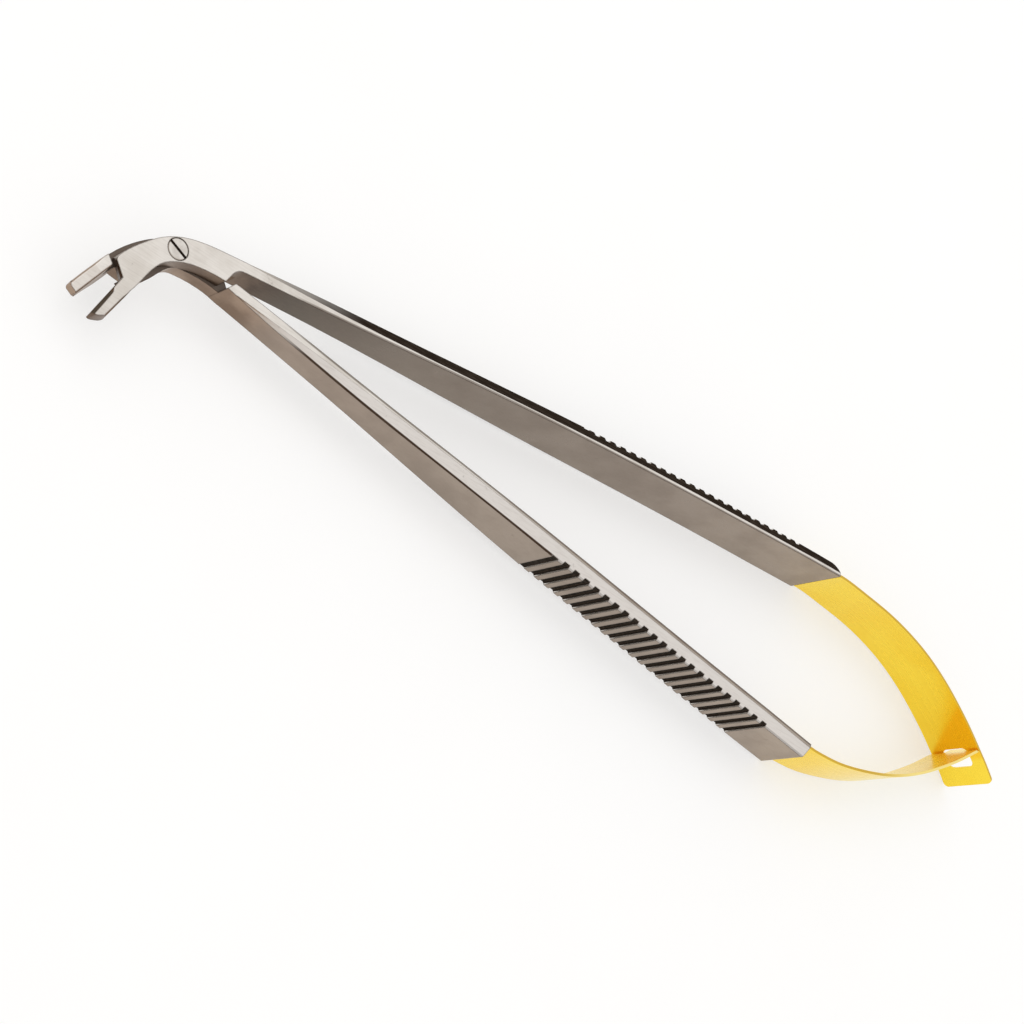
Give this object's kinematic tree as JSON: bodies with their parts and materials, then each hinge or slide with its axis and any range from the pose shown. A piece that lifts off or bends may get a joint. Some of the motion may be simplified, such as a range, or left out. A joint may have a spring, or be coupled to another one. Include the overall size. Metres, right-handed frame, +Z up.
{
  "type": "matrix band forceps",
  "caption": "Angled leaf-sprung hand forceps: crossed handles with ribbed grips close two short jaws over a slotted pivot screw; curved spring leaves interlock at the tail.",
  "frame": {"origin": "centre of the bounding box at the surface the forceps lies on, with the motion plane horizontal", "axes": "+X from the jaws to the tail where the springs cross, +Y towards the upper handle, +Z up, out of the side that shows the screw head and parallel to the pivot axis"},
  "size_m": [0.1656, 0.0303, 0.0094],
  "materials": {
    "steel_lever": "fine satin-ground stainless steel",
    "screw": "turned stainless steel",
    "gold_leaf": "polished gold-plated spring steel"
  },
  "bodies": {
    "front": {"front_lever": "steel_lever", "pivot_screw": "screw"},
    "rear": {"rear_lever": "steel_lever"},
    "upper_spring": {"upper_leaf": "gold_leaf"},
    "lower_spring": {"lower_leaf": "gold_leaf"}
  },
  "joints": [
    {"name": "jaw_pivot", "type": "hinge", "parent": "front", "child": "rear", "pos_m": [-0.07331, 0.00047, 0.00468], "axis": [0, 0, 1], "range_deg": [0, 10.8], "stiffness_Nm_per_rad": 1.2},
    {"name": "upper_leaf_bend", "type": "hinge", "parent": "front", "child": "upper_spring", "pos_m": [0.04014, 0.01345, 0.00468], "axis": [0, 0, 1], "range_deg": [0, 25.3]},
    {"name": "lower_leaf_bend", "type": "hinge", "parent": "rear", "child": "lower_spring", "pos_m": [0.04013, -0.01351, 0.00468], "axis": [0, 0, 1], "range_deg": [-17, 0]}
  ],
  "couplings": [
    {"joint": "upper_leaf_bend", "follows": "jaw_pivot", "ratio": 2.336},
    {"joint": "lower_leaf_bend", "follows": "jaw_pivot", "ratio": -1.5666}
  ]
}
